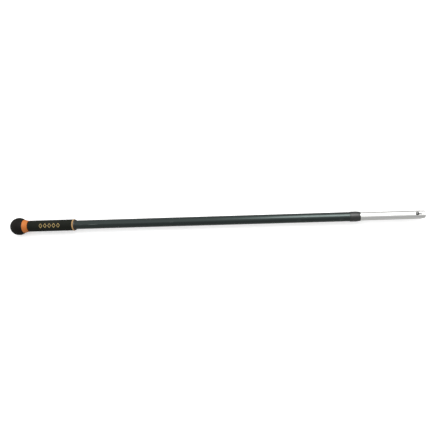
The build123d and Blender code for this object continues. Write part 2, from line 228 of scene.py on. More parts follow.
# %% [markdown]
# ## Effect 3: edge wear
#
# Outer edges lose their skin first. A shader can't find the edges of a mesh by itself in a way that bakes
# well, so each turned piece carries an attribute named edge, which is 1 on its outer roundings and back to
# 0 within half a millimetre. Noise breaks the band up, because wear comes in patches.

# %% Group: edge wear
edge_wear, given, result = open_group(
    "Edge wear",
    SHADER,
    [("Amount", FLOAT, 0.5), ("Patches per metre", FLOAT, 160.0)],
    [("Mask", FLOAT)],
)
edge_value = place(edge_wear, "ShaderNodeAttribute", attribute_name="edge").outputs["Fac"]
at = place(edge_wear, "ShaderNodeTexCoord").outputs["Object"]
patches = noise(edge_wear, at, given["Patches per metre"], 4.0, 0.65)
broken = calculate(edge_wear, "MULTIPLY", edge_value, patches)
threshold = calculate(edge_wear, "SUBTRACT", 0.75, calculate(edge_wear, "MULTIPLY", given["Amount"], 0.5))
worn = remap(edge_wear, broken, threshold, calculate(edge_wear, "ADD", threshold, 0.18), 0.0, 1.0)
close_group(edge_wear, result, Mask=worn)

# %% [markdown]
# ## Effect 4: dust and handling marks
#
# A pole that has been on site has a thin film of dust and finger marks. It lightens dark rubber a little
# and makes shiny metal rougher in soft patches. One noise gives large patches and a second, finer one gives
# the specks inside them.

# %% Group: dust
dust, given, result = open_group(
    "Dust",
    SHADER,
    [("Amount", FLOAT, 0.3), ("Patches per metre", FLOAT, 22.0), ("Specks per metre", FLOAT, 900.0)],
    [("Mask", FLOAT)],
)
at = place(dust, "ShaderNodeTexCoord").outputs["Object"]
large_mask = remap(dust, noise(dust, at, given["Patches per metre"], 5.0), 0.42, 0.7, 0.0, 1.0)
small_mask = remap(dust, noise(dust, at, given["Specks per metre"], 2.0), 0.45, 0.65, 0.35, 1.0)
film = calculate(dust, "MULTIPLY", calculate(dust, "MULTIPLY", large_mask, small_mask), given["Amount"])
close_group(dust, result, Mask=film)

# %% [markdown]
# ## Starting and finishing a material
#
# Every finish on the pole is one Principled shader with a few groups round it. The constants that describe
# the substance, such as how metallic it is, are set on the shader itself. Only what changes over the surface
# comes through nodes: colour, roughness and the bump's height.


# %% Material helpers
def srgb(text):
    """A colour written as six hex digits, as the linear red, green, blue and alpha that shaders use."""
    values = [int(text[i : i + 2], 16) / 255 for i in (0, 2, 4)]
    linear = [v / 12.92 if v <= 0.04045 else ((v + 0.055) / 1.055) ** 2.4 for v in values]
    return (*linear, 1.0)


def open_material(name, **constants):
    """A new material, its node tree and its shader, with the shader's constant inputs set by name."""
    material = bpy.data.materials.new(name)
    material.use_nodes = True
    shader = material.node_tree.nodes["Principled BSDF"]
    for label, value in constants.items():
        shader.inputs[label.replace("_", " ")].default_value = value
    return material, material.node_tree, shader


def use(tree, group, **values):
    """A shader group placed in a material, with its own values."""
    joined = {label.replace("_", " "): value for label, value in values.items()}
    return place(tree, "ShaderNodeGroup", joined, node_tree=group).outputs


def blend_colour(tree, mask, first, second):
    """First colour where the mask is 0, second where it is 1."""
    return place(tree, "ShaderNodeMix", {0: mask, 6: first, 7: second}, data_type="RGBA").outputs[2]


def close_material(tree, shader, colour, roughness, height, depth, strength=1.0):
    """Joins the changing colour, roughness and bump height to the shader. depth is the bump's real height."""
    tree.links.new(colour, shader.inputs["Base Color"])
    tree.links.new(roughness, shader.inputs["Roughness"])
    bump = place(tree, "ShaderNodeBump", {"Strength": strength, "Distance": depth, "Height": height})
    tree.links.new(bump.outputs["Normal"], shader.inputs["Normal"])


# %% [markdown]
# ## Finish: black grip rubber
#
# The ball's cap and the grip are soft thermoplastic rubber: nearly black, with a fine grain that breaks up
# every reflection, and a little dust caught in the grain. Rubber is matt mostly because its skin is rough.
# The fine pits also trap light, so the reflection is turned down as well as spread.


# %% Material: rubber
def make_rubber(name, deep, pale, dust_amount):
    material, tree, shader = open_material(name, Specular_IOR_Level=0.15)
    grain = use(tree, moulded_grain, Grain_per_metre=1300.0, Cloud_per_metre=26.0)
    worn_edge = use(tree, edge_wear, Amount=0.55)["Mask"]
    film = use(tree, dust, Amount=dust_amount)["Mask"]
    body = blend_colour(tree, grain["Shade"], srgb(deep), srgb(pale))
    worn = blend_colour(tree, worn_edge, body, srgb("34322d"))
    dusty = blend_colour(tree, film, worn, srgb("77736a"))
    roughness = remap(tree, grain["Shade"], 0.0, 1.0, 0.62, 0.74)
    close_material(tree, shader, dusty, roughness, grain["Height"], depth=0.25 * MM, strength=0.55)
    return material


ball_rubber = make_rubber("ball rubber", "0c0a07", "161410", dust_amount=0.04)
grip_rubber = make_rubber("grip rubber", "0b0e08", "13160e", dust_amount=0.03)

# %% [markdown]
# ## Finish: hard plastics
#
# The orange neck, the tan ring, the dark collar and the plain plastics inside are all moulded. They share a
# recipe and differ in colour, roughness and how much wear shows, so the recipe is one function. Colour
# pigment goes right through, so worn edges are only a little paler. The grip's raised lozenges use the same
# recipe.


# %% Material: hard plastic
def make_plastic(name, deep, pale, worn_colour, rough, wear=0.45, dust_amount=0.06):
    material, tree, shader = open_material(name, IOR=1.49)
    grain = use(tree, moulded_grain, Grain_per_metre=2200.0, Cloud_per_metre=60.0)
    worn_edge = use(tree, edge_wear, Amount=wear, Patches_per_metre=240.0)["Mask"]
    film = use(tree, dust, Amount=dust_amount, Patches_per_metre=40.0)["Mask"]
    body = blend_colour(tree, grain["Shade"], srgb(deep), srgb(pale))
    worn = blend_colour(tree, worn_edge, body, srgb(worn_colour))
    dusty = blend_colour(tree, film, worn, srgb("a8a296"))
    roughness = remap(tree, grain["Shade"], 0.0, 1.0, rough - 0.05, rough + 0.07)
    close_material(tree, shader, dusty, roughness, grain["Height"], depth=0.08 * MM, strength=0.35)
    return material


orange_plastic = make_plastic("orange plastic", "ae5c12", "bb691b", "cf8a48", rough=0.44)
ring_plastic = make_plastic("ring plastic", "98733f", "a8865a", "c4a582", rough=0.42)
collar_plastic = make_plastic(
    "collar plastic", "121312", "191a1a", "3a3b3a", rough=0.40, wear=0.5, dust_amount=0.03
)
black_plastic = make_plastic("black plastic", "100e0b", "191612", "37332d", rough=0.42, dust_amount=0.03)
acetal = make_plastic("acetal", "d6d2c5", "e3e0d6", "f0eee8", rough=0.45, wear=0.2)
marking_ink = make_plastic("marking ink", "a58a52", "bda468", "d8c9a0", rough=0.5, wear=0.3)

# %% [markdown]
# ## Finish: aluminium tubes
#
# Both tubes are aluminium. The inner one is bare and bright. The outer one is anodised dark grey, which
# dyes the metal's own oxide skin: it still reflects like metal, only darker and a touch greener. Both use
# the drawn lines. Scratches show bright on the dark tube, because they cut through the skin, and its sealed
# skin adds a thin clear coat.


# %% Material: aluminium
def make_aluminium(name, dark, light, scratched, rough_low, rough_high, lines, scratch_level, clear=0.0):
    material, tree, shader = open_material(name, Metallic=1.0, Coat_Weight=clear, Coat_Roughness=0.22)
    die = use(tree, drawn_lines, Lines_per_metre=lines, Scratch_level=scratch_level)
    worn_edge = use(tree, edge_wear, Amount=0.7, Patches_per_metre=300.0)["Mask"]
    film = use(tree, dust, Amount=0.35, Patches_per_metre=14.0)["Mask"]
    body = blend_colour(tree, die["Streak"], srgb(dark), srgb(light))
    marks = calculate(tree, "MAXIMUM", die["Scratch"], worn_edge)
    coloured = blend_colour(tree, marks, body, srgb(scratched))
    smooth = remap(tree, die["Streak"], 0.0, 1.0, rough_low, rough_high)
    roughness = calculate(tree, "ADD", smooth, calculate(tree, "MULTIPLY", film, 0.25))
    close_material(tree, shader, coloured, roughness, die["Height"], depth=0.03 * MM, strength=0.25)
    return material


anodised = make_aluminium(
    "anodised aluminium",
    dark="2a3231",
    light="333b39",
    scratched="858a88",
    rough_low=0.24,
    rough_high=0.33,
    lines=2400.0,
    scratch_level=0.75,
    clear=0.35,
)
bare_aluminium = make_aluminium(
    "bare aluminium",
    dark="cbcbc9",
    light="d6d6d4",
    scratched="eeeeec",
    rough_low=0.27,
    rough_high=0.35,
    lines=2800.0,
    scratch_level=0.70,
)

# %% [markdown]
# ## Finish: steel and felt
#
# The pins, screw and spindles are zinc-plated steel. The snap button has a darker, glossier plating, and its
# spring is blued by its heat treatment. Plating has cloudy patches rather than lines, so it uses the grain
# group with a metallic shader. The wiper ring is pressed felt, which is all tangled fibre: rough, with a
# soft sheen at grazing angles.


# %% Material: steel and felt
def make_steel(name, dark, light, rough):
    material, tree, shader = open_material(name, Metallic=1.0)
    grain = use(tree, moulded_grain, Grain_per_metre=900.0, Cloud_per_metre=220.0)
    worn_edge = use(tree, edge_wear, Amount=0.6, Patches_per_metre=400.0)["Mask"]
    body = blend_colour(tree, grain["Shade"], srgb(dark), srgb(light))
    coloured = blend_colour(tree, worn_edge, body, srgb("f0efec"))
    roughness = remap(tree, grain["Shade"], 0.0, 1.0, rough, rough + 0.14)
    close_material(tree, shader, coloured, roughness, grain["Height"], depth=0.02 * MM, strength=0.3)
    return material


def make_felt():
    material, tree, shader = open_material("felt", Sheen_Weight=0.6, Sheen_Roughness=0.5)
    grain = use(tree, moulded_grain, Grain_per_metre=5200.0, Cloud_per_metre=500.0)
    body = blend_colour(tree, grain["Shade"], srgb("3a3a39"), srgb("5a5957"))
    roughness = remap(tree, grain["Height"], 0.0, 1.0, 0.85, 1.0)
    close_material(tree, shader, body, roughness, grain["Height"], depth=0.3 * MM)
    return material


zinc_steel = make_steel("zinc plated steel", "b3b2ac", "cfcec9", rough=0.28)
button_steel = make_steel("plated button", "444443", "525251", rough=0.22)
spring_steel = make_steel("blued spring steel", "2b2d31", "3b3d40", rough=0.26)
felt = make_felt()

# %% [markdown]
# ## Rounded outlines
#
# No moulded or machined edge is really sharp, and the thin highlight along a rounded edge is what makes a
# part look solid. A Bevel modifier could round the finished meshes, but it can't tell an outer edge from an
# inner one for the wear attribute. So the rounding is done in the outline, before it is turned: a corner is
# given with its rounding radius, and comes back as a short arc.


# %% Fillet and outline
def fillet(before, corner, after, radius, steps):
    """Points of the arc that rounds a corner, from the side of before to the side of after."""
    back = (before - corner).normalized()
    onward = (after - corner).normalized()
    half = acos(max(-1.0, min(1.0, back.dot(onward)))) / 2
    reach = radius / tan(half)
    centre = corner + (back + onward).normalized() * (radius / sin(half))
    start = corner + back * reach - centre
    end = corner + onward * reach - centre
    sweep = pi - 2 * half
    arc = []
    for step in range(steps + 1):
        part = step / steps * sweep
        arc.append(centre + (start * sin(sweep - part) + end * sin(part)) / sin(sweep))
    return arc


def outline(corners, steps=4, fade=0.45 * MM):
    """A closed outline as (along, radius, edge) rings.

    A corner is (along, radius) or (along, radius, rounding). edge is 1 on the arcs of outer corners. Rings
    where it is back to 0 stand a short way off each arc.
    """
    points = [Vector(c[:2]) for c in corners]
    count = len(points)
    area = sum(points[i - 1].cross(points[i]) for i in range(count))
    arcs = []
    for i, corner in enumerate(corners):
        before, here, after = points[i - 1], points[i], points[(i + 1) % count]
        arcs.append(fillet(before, here, after, corner[2], steps) if len(corner) == 3 else [here])
    rings = []
    for i, arc in enumerate(arcs):
        before, here, after = points[i - 1], points[i], points[(i + 1) % count]
        outer = len(arc) > 1 and ((before - here).cross(after - here) < 0) == (area > 0)
        back = arcs[i - 1][-1] - arc[0]
        onward = arcs[(i + 1) % count][0] - arc[-1]
        if outer:
            lead = arc[0] + back * min(0.4, fade / back.length)
            rings.append((lead.x, lead.y, 0.0))
        rings += [(p.x, p.y, float(outer)) for p in arc]
        if outer:
            trail = arc[-1] + onward * min(0.4, fade / onward.length)
            rings.append((trail.x, trail.y, 0.0))
    return rings


# %% [markdown]
# ## Turning an outline
#
# Blender has Spin and Screw for turned shapes, but their doubled points, at the seam and on the axis, then
# have to be merged. Writing the rings out directly gives a closed mesh: every ring has the same number of
# points, a point on the axis is a single point, and the last ring joins the first.


# %% Lathe
SHARP = radians(38)  # edges that turn more than this are shaded as corners
ON_AXIS = 1e-7  # a ring smaller than this is a single point


def add_object(name, data):
    """A new object, put in the scene."""
    made = bpy.data.objects.new(name, data)
    bpy.context.collection.objects.link(made)
    return made


def new_object(name, points, faces, material):
    """A mesh object with outward faces, smooth except across sharp edges."""
    mesh = bpy.data.meshes.new(name)
    mesh.from_pydata(points, [], faces)
    draft = bmesh.new()
    draft.from_mesh(mesh)
    bmesh.ops.recalc_face_normals(draft, faces=draft.faces)
    draft.to_mesh(mesh)
    draft.free()
    mesh.materials.append(material)
    mesh.shade_smooth()
    mesh.set_sharp_from_angle(angle=SHARP)
    return add_object(name, mesh)


def round_x(along, radius, angle):
    """A point on a ring round the pole's axis."""
    return (along, radius * cos(angle), radius * sin(angle))


def lathe(name, rings, material, turns=96, point=round_x):
    """A closed solid turned from an outline's rings, with its edge attribute."""
    points, edges, starts = [], [], []
    for along, radius, edge in rings:
        around = 1 if radius < ON_AXIS else turns
        starts.append((len(points), around))
        points += [point(along, radius, 2 * pi * j / turns) for j in range(around)]
        edges += [edge] * around
    faces = []
    for i, (a, a_count) in enumerate(starts):
        b, b_count = starts[(i + 1) % len(starts)]
        if a_count == b_count == 1:
            continue
        for j in range(turns):
            k = (j + 1) % turns
            ring = [a + j % a_count, a + k % a_count, b + k % b_count, b + j % b_count]
            faces.append(list(dict.fromkeys(ring)))
    made = new_object(name, points, faces, material)
    made.data.attributes.new("edge", "FLOAT", "POINT").data.foreach_set("value", edges)
    return made


def fit(piece, body, node):
    """Rides a finished piece on its body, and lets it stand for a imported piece."""
    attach(piece, body)
    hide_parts(node)
    size = [round(v / MM, 1) for v in piece.dimensions]
    print(f"{piece.name}: {len(piece.data.polygons)} faces, {size} mm")
    return piece


# %% [markdown]
# ## The ball's rubber cap
#
# The end of the pole is a 50 mm ball that sits in the palm and turns there. Its cap is a thin rubber shell
# over a hard core, open towards the grip. It is turned from two arcs, with a shallow dimple at the very end
# where the mould's gate was, and a rounded lip where it meets the orange neck.


# %% Knob cover
def arc_points(centre, radius, first, last, steps):
    """Points of an arc round a centre on the axis, from one angle to another. Angle 0 points to +X."""
    angles = [first + (last - first) * i / steps for i in range(steps + 1)]
    return [(centre + radius * cos(a), radius * sin(a)) for a in angles]


def make_knob_cover():
    start, rim, ball_r = span("knob_cover")
    centre = start + ball_r
    shell = 2.5 * MM
    dimple_r = 3.2 * MM
    dimple_deep = 0.35 * MM
    rim_angle = acos((rim - centre) / ball_r)
    dimple_angle = pi - asin(dimple_r / ball_r)
    dimple_x = centre + ball_r * cos(dimple_angle)
    inner_rim_angle = acos((rim - centre) / (ball_r - shell))
    outside = arc_points(centre, ball_r, dimple_angle, rim_angle, 56)
    inside = arc_points(centre, ball_r - shell, inner_rim_angle, pi, 32)
    corners = [(dimple_x + dimple_deep, 0), (dimple_x + dimple_deep, dimple_r - 0.5 * MM)]
    corners += outside[:-1]
    corners += [(*outside[-1], 0.5 * MM), (*inside[0], 0.3 * MM)]
    corners += [(x, max(r, 0.0)) for x, r in inside[1:-1]]
    corners.append((inside[-1][0], 0.0))
    return lathe("knob_cover_shell", outline(corners), ball_rubber)


fit(make_knob_cover(), "knob", "knob_cover")

# %% [markdown]
# ## The orange neck
#
# The neck joins the ball to the grip. It starts a little proud of the rubber, then sweeps in along a hollow
# curve to the grip's width. Its shape is one outline with a sagging line in it, and both of its visible
# edges are rounded.


# %% Knob collar
def parts_between(count):
    """The fractions between 0 and 1 that cut a stretch into equal parts."""
    return [i / count for i in range(1, count)]


def make_knob_collar():
    start, front, _ = span("knob_collar")
    _, _, ball_r = span("knob_cover")
    _, _, grip_r = span("grip_sleeve")
    ball_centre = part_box("knob_cover")[0].x + ball_r
    rim_r = (ball_r**2 - (start - ball_centre) ** 2) ** 0.5
    crest = Vector((start + 1.6 * MM, rim_r + 0.1 * MM))
    foot = Vector((front - 0.6 * MM, grip_r + 0.2 * MM))
    sag = 0.7 * MM
    sweep = []
    for part in parts_between(12):
        here = crest.lerp(foot, part)
        sweep.append((here.x, here.y - sag * 4 * part * (1 - part)))
    bore_r = 9.5 * MM
    step_x = front - 2.0 * MM
    corners = [(start, rim_r - 0.3 * MM, 0.3 * MM), (*crest, 0.8 * MM), *sweep, (*foot, 0.5 * MM)]
    corners += [(front, foot.y - 0.6 * MM, 0.3 * MM), (front, bore_r, 0.4 * MM), (step_x, bore_r)]
    corners += [(step_x, SPIGOT_R), (start, SPIGOT_R)]
    return lathe("knob_neck", outline(corners), orange_plastic)


fit(make_knob_collar(), "knob", "knob_collar")

# %% [markdown]
# ## The grip
#
# The grip is a plain rubber sleeve, 134 mm long. Plain surfaces look like plastic pipe if they are perfect,
# so it has a soft rounding at the back, a fine witness line at each end where the mould halves met, and the
# grain from its material.


# %% Grip sleeve
def witness_line(x, radius, deep=0.12 * MM, wide=0.5 * MM):
    """A fine groove round a piece, as four corners of its outline."""
    return [(x, radius), (x + wide * 0.3, radius - deep), (x + wide * 0.7, radius - deep), (x + wide, radius)]


def make_grip():
    start, front, radius = span("grip_sleeve")
    back_end = 3.0 * MM
    inset = 6 * MM
    corners = [(start, PLUG_FLANGE_R, 0.3 * MM), (start, radius, 1.0 * MM)]
    corners += witness_line(start + inset, radius)
    corners += witness_line(front - inset, radius)
    corners += [(front, radius, 0.5 * MM), (front, OUTER_R)]
    corners += [(start + back_end, OUTER_R), (start + back_end, PLUG_FLANGE_R)]
    return lathe("grip_rubber_sleeve", outline(corners), grip_rubber)


fit(make_grip(), "outer", "grip_sleeve")

# %% [markdown]
# ## The ring and the ferrule
#
# At its front the grip ends in a thin coloured bead and a black ferrule that slopes down to the tube. The
# bead's crown is half an ellipse. The ferrule's slope is a curve that starts level at the lip and gets
# steeper towards the tube.


# %% Grip ring and ferrule
def make_ring():
    start, front, crest_r = span("grip_ring")
    middle = (start + front) / 2
    half = (front - start) / 2
    shoulder_r = crest_r - 1.1 * MM
    steps = 14
    crown = []
    for step in range(steps + 1):
        part = -1 + 2 * step / steps
        crown.append((middle + half * part, shoulder_r + (crest_r - shoulder_r) * (1 - part * part) ** 0.5))
    corners = [(start, SPIGOT_R), *crown, (front, SPIGOT_R)]
    return lathe("grip_bead", outline(corners), ring_plastic)


def make_ferrule():
    start, front, _ = span("grip_ferrule")
    ring_front = span("grip_ring")[1]
    lip_r = span("grip_sleeve")[2] - 0.7 * MM
    nose_r = OUTER_R + 0.9 * MM
    shoulder = ring_front + 1.2 * MM
    slope = []
    for part in parts_between(10):
        fall = (1 - part**1.6) ** 0.9
        slope.append((shoulder + (front - shoulder) * part, nose_r + (lip_r - nose_r) * fall))
    corners = [(start, OUTER_R), (start, SPIGOT_R), (ring_front, SPIGOT_R), (ring_front, lip_r, 0.3 * MM)]
    corners += [(shoulder, lip_r), *slope, (front, nose_r, 0.25 * MM), (front, OUTER_R, 0.2 * MM)]
    return lathe("grip_end_ferrule", outline(corners), black_plastic)


fit(make_ring(), "outer", "grip_ring")
fit(make_ferrule(), "outer", "grip_ferrule")

# %% [markdown]
# ## The outer tube and its collar
#
# The tube is a plain length of 25 mm aluminium, so all its interest is in the finish. The collar slips over
# its mouth: a straight band, then a bulging taper down to a nose that just clears the inner tube. Inside,
# it steps round the bush and the wiper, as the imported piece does.


# %% Outer tube and collar
def make_outer_tube():
    bore_r = OUTER_R - WALL
    break_edge = 0.2 * MM
    corners = [(TUBE_START, bore_r, break_edge), (TUBE_START, OUTER_R, break_edge)]
    corners += [(TUBE_MOUTH, OUTER_R, break_edge), (TUBE_MOUTH, bore_r, break_edge)]
    return lathe("outer_tube_25", outline(corners), anodised, turns=128)


def make_tube_collar():
    back, front, collar_r = span("tube_collar")
    bush_front = span("guide_bush")[1]
    wiper_front = span("wiper_ring")[1]
    seal_r = span("wiper_ring")[2]
    nose_r = 12.25 * MM
    bore_r = INNER_R + 0.3 * MM
    shoulder = back + 15.2 * MM
    taper = []
    for part in parts_between(12):
        taper.append((shoulder + (front - shoulder) * part, collar_r - (collar_r - nose_r) * part**1.55))
    corners = [(back, OUTER_R, 0.15 * MM), (back, OUTER_R + 0.7 * MM, 0.2 * MM)]
    corners += [(back + 1.2 * MM, collar_r, 0.6 * MM)]
    corners += [(shoulder, collar_r), *taper, (front, nose_r, 0.35 * MM), (front, bore_r, 0.2 * MM)]
    corners += [(wiper_front, bore_r), (wiper_front, seal_r), (bush_front, seal_r), (bush_front, OUTER_R)]
    return lathe("tube_mouth_collar", outline(corners), collar_plastic)


fit(make_outer_tube(), "outer", "outer_tube")
fit(make_tube_collar(), "outer", "tube_collar")

# %% [markdown]
# ## The inner tube and its tool end
#
# The last centimetres of the inner tube do the work: a narrower lead-in finds the tool's socket, a keyhole
# lets the button through and a bevel on one side makes the tool go on one way round. The tube is turned
# first. The keyhole and bevel are then cut with Boolean modifiers. A Boolean on long thin faces gives
# ragged shading, so the last stretch of the tube has a ring every millimetre for the cut to land on.

# %% Tool end sizes
button_low, button_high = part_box("snap_button")
BUTTON_X = (button_low.x + button_high.x) / 2
BUTTON_R = 4.5 * MM
HOLE_R = 4.65 * MM
SLOT_HALF = 1.6 * MM
SLOT_TIP = -9.5 * MM
LEAD = 11.0 * MM
LEAD_DEEP = 0.35 * MM
BEVEL_LONG = 8.0 * MM
BEVEL_DEEP = 3.6 * MM
BEVEL_TURN = radians(-70)
BEVEL_SHARP = radians(30)  # the bevel meets the tube's side at a shallow angle
FINE_STRETCH = 36  # within this many millimetres of the tool face the tube has close rings
print(f"button {-BUTTON_X / MM:.1f} mm from the tool face")


# %% Cutters
def prism(name, flat, low, high):
    """A closed prism over a flat outline of (x, y) points, between two heights."""
    count = len(flat)
    points = [(x, y, low) for x, y in flat] + [(x, y, high) for x, y in flat]
    faces = [list(range(count)), list(range(count, 2 * count))]
    faces += [[i, (i + 1) % count, count + (i + 1) % count, count + i] for i in range(count)]
    return new_object(name, points, faces, bare_aluminium)


def keyhole():
    """The button's hole, with the slot that runs from it towards the tool face."""
    mouth = asin(SLOT_HALF / HOLE_R)
    steps = 44
    turn = [mouth + (2 * pi - 2 * mouth) * i / steps for i in range(steps + 1)]
    flat = [(BUTTON_X + HOLE_R * cos(a), HOLE_R * sin(a)) for a in turn]
    tip = SLOT_TIP - SLOT_HALF
    end = [-pi / 2 + pi * i / 12 for i in range(13)]
    flat += [(tip + SLOT_HALF * cos(a), SLOT_HALF * sin(a)) for a in end]
    return prism("keyhole_cutter", flat, INNER_R / 2, INNER_R * 1.5)


def bevel_wedge():
    """The wedge that keys the tool end, laid on the tube's underside and turned round to its place."""
    wide = INNER_R * 1.5
    side = -INNER_R
    tail = 2.0 * MM
    slope = BEVEL_DEEP / BEVEL_LONG
    flat = [(-BEVEL_LONG - tail, side - tail * slope), (tail, side + BEVEL_DEEP + tail * slope)]
    flat += [(tail, side - 4 * MM), (-BEVEL_LONG - tail, side - 4 * MM)]
    wedge = prism("bevel_cutter", flat, -wide, wide)
    stand = Matrix.Rotation(radians(90), 4, "X")
    wedge.data.transform(Matrix.Rotation(BEVEL_TURN, 4, "X") @ stand)
    return wedge


# %% Inner tube
def apply_modifiers(draft):
    """The object's mesh with its modifiers worked out, which are then removed."""
    seen = draft.evaluated_get(bpy.context.evaluated_depsgraph_get())
    finished = bpy.data.meshes.new_from_object(seen)
    draft.modifiers.clear()
    draft.data = finished
    return draft


def make_inner_tube():
    bore_r = INNER_R - WALL
    lead_r = INNER_R - LEAD_DEEP
    fine = [-i * MM for i in range(12, FINE_STRETCH)]
    lead_rings = [-i * MM for i in range(1, 11)]
    corners = [(INNER_START, bore_r, 0.2 * MM), (INNER_START, INNER_R, 0.2 * MM)]
    corners += [(x, INNER_R) for x in reversed(fine)]
    corners += [(-LEAD - LEAD_DEEP, INNER_R, 0.15 * MM), (-LEAD, lead_r)]
    corners += [(x, lead_r) for x in reversed(lead_rings)]
    corners += [(0, lead_r, 0.2 * MM), (0, bore_r, 0.15 * MM)]
    corners += [(x, bore_r) for x in lead_rings + fine]
    tube = lathe("inner_tube_22", outline(corners, fade=0.3 * MM), bare_aluminium, turns=128)
    cutters = [keyhole(), bevel_wedge()]
    for cutter in cutters:
        cut = tube.modifiers.new("cut", "BOOLEAN")
        cut.operation = "DIFFERENCE"
        cut.solver = "EXACT"
        cut.object = cutter
    apply_modifiers(tube)
    for cutter in cutters:
        bpy.data.objects.remove(cutter)
    return tube


def mark_cut_edges(piece, from_x):
    """Sets edge to 1 on the sharp edges that the cuts left, so that they wear bright."""
    draft = bmesh.new()
    draft.from_mesh(piece.data)
    layer = draft.verts.layers.float["edge"]
    for line in draft.edges:
        sharp = len(line.link_faces) == 2 and line.calc_face_angle() > SHARP
        if sharp and all(v.co.x > from_x for v in line.verts):
            for v in line.verts:
                v[layer] = 1.0
    draft.to_mesh(piece.data)
    draft.free()
    piece.data.shade_smooth()
    piece.data.set_sharp_from_angle(angle=BEVEL_SHARP)


inner_tube = make_inner_tube()
mark_cut_edges(inner_tube, -FINE_STRETCH * MM)
fit(inner_tube, "inner", "inner_tube")


# %% [markdown]
# ## The snap button and its spring
#
# The button is a small plated steel plunger with a domed head, and a flange that stops it under the tube's
# wall. It stands upright, so it is turned round Z instead of X. Its spring is a strip of blued steel bent
# into a V: one leg lies on the bore, the other carries the button. A strip is a cross-section carried along
# a path, with small chamfers for the rolled edges. On the real pole the V closes when the button is pressed.
# Here the spring keeps its resting shape and rides with the inner tube.


# %% Button
def round_z(along, radius, angle):
    """A point on a ring round the button's own upright axis."""
    return (BUTTON_X + radius * cos(angle), radius * sin(angle), along)


def make_button():
    base_z, top_z = button_low.z, button_high.z
    flange_r = (button_high.x - button_low.x) / 2
    flange_thick = 1.2 * MM
    dome_r = 9.0 * MM
    centre = top_z - dome_r
    rim = asin(BUTTON_R / dome_r)
    dome = [(z, r) for z, r in arc_points(centre, dome_r, rim, 0.0, 14)]
    flange_top = base_z + flange_thick
    corners = [(base_z, 0), (base_z, flange_r, 0.2 * MM)]
    corners += [(flange_top, flange_r, 0.2 * MM), (flange_top, BUTTON_R)]
    corners += [(*dome[0], 0.35 * MM), *dome[2:-1], (top_z, 0)]
    return lathe("snap_button_dome", outline(corners, fade=0.3 * MM), button_steel, 64, round_z)


fit(make_button(), "snap_button", "snap_button")


# %% Button spring
def rounded_path(corners, radius, steps=6):
    """An open path with its middle corners rounded."""
    points = [Vector(c) for c in corners]
    path = [points[0]]
    for before, here, after in zip(points, points[1:], points[2:]):
        path += fillet(before, here, after, radius, steps)
    return path + [points[-1]]


def strip(name, path, width, thick, material):
    """A flat strip whose middle follows a path of (x, z) points in the plane Y = 0."""
    chamfer = thick * 0.25
    half_wide, half_thick = width / 2, thick / 2
    quarter = [(half_wide - chamfer, half_thick), (half_wide, half_thick - chamfer)]
    section = quarter + [(a, -b) for a, b in reversed(quarter)]
    section += [(-a, -b) for a, b in quarter] + [(-a, b) for a, b in reversed(quarter)]
    points = []
    for i, here in enumerate(path):
        ahead = (path[min(i + 1, len(path) - 1)] - path[max(i - 1, 0)]).normalized()
        across = Vector((-ahead.y, ahead.x))
        for side, lift in section:
            spot = here + across * lift
            points.append((spot.x, side, spot.y))
    count = len(section)
    faces = [list(range(count)), list(range(len(points) - count, len(points)))]
    for i in range(len(path) - 1):
        for j in range(count):
            k = (j + 1) % count
            faces.append([i * count + j, i * count + k, (i + 1) * count + k, (i + 1) * count + j])
    return new_object(name, points, faces, material)


def make_spring():
    low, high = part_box("button_spring")
    thick = 0.6 * MM
    low_z = low.z + thick / 2
    arm_z = high.z - thick / 2
    bend_x = low.x + thick / 2
    bend_r = 2.6 * MM
    heel = (bend_x + 1.5 * MM, low_z + 5.4 * MM)  # the upper leg leaves the bend here
    level_x = BUTTON_X - 9.0 * MM  # from here the upper leg is level
    corners = [(high.x, low_z), (bend_x, low_z), heel, (level_x, arm_z), (high.x, arm_z)]
    return strip("button_leaf_spring", rounded_path(corners, bend_r), high.y - low.y, thick, spring_steel)


spring = fit(make_spring(), "inner", "button_spring")
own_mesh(spring)

# %% [markdown]
# ## Geometry Nodes: the row of lozenges on the grip
#
# The grip's decorated stretch faces up and a little towards -Y. A row of plain lozenges is raised there. One
# lozenge could be modelled and copied by hand, but a node tree keeps its count, size and spacing as named
# numbers. The tree sweeps a thin bar round a flat diamond, puts a copy at each point of a line, and then
# bends the whole flat sheet round the grip: height above the sheet becomes distance from the axis, and
# distance across it becomes an angle. Realize Instances makes the copies real, because an export drops
# instances.

# %% Tree: lozenge row
lozenge_tree, given, result = open_group(
    "Lozenge row",
    "GeometryNodeTree",
    [
        ("Count", "NodeSocketInt", 5),
        ("Spacing", FLOAT, 13.2 * MM),
        ("Long", FLOAT, 9.0 * MM),
        ("High", FLOAT, 12.5 * MM),
        ("Bar width", FLOAT, 1.0 * MM),
        ("Bar height", FLOAT, 0.5 * MM),
        ("Middle X", FLOAT, 0.0),
        ("Grip radius", FLOAT, 16.0 * MM),
        ("Turn", FLOAT, 0.0),
        ("Finish", "NodeSocketMaterial", None),
    ],
    [("Geometry", "NodeSocketGeometry")],
)


def bar_sweep(tree, sizes):
    """A diamond-shaped bar, flat in XY, with points every half millimetre or so for the bend."""
    half_high = calculate(tree, "MULTIPLY", sizes["High"], 0.5)
    diamond = place(
        tree,
        "GeometryNodeCurvePrimitiveQuadrilateral",
        {"Width": sizes["Long"], "Bottom Height": half_high, "Top Height": half_high},
        mode="KITE",
    )
    finer = place(tree, "GeometryNodeResampleCurve", {"Curve": diamond.outputs[0], "Count": 48})
    bar = place(
        tree,
        "GeometryNodeCurvePrimitiveQuadrilateral",
        {"Width": sizes["Bar width"], "Height": sizes["Bar height"]},
        mode="RECTANGLE",
    )
    joined = {"Curve": finer.outputs[0], "Profile Curve": bar.outputs[0]}
    return place(tree, "GeometryNodeCurveToMesh", joined).outputs[0]


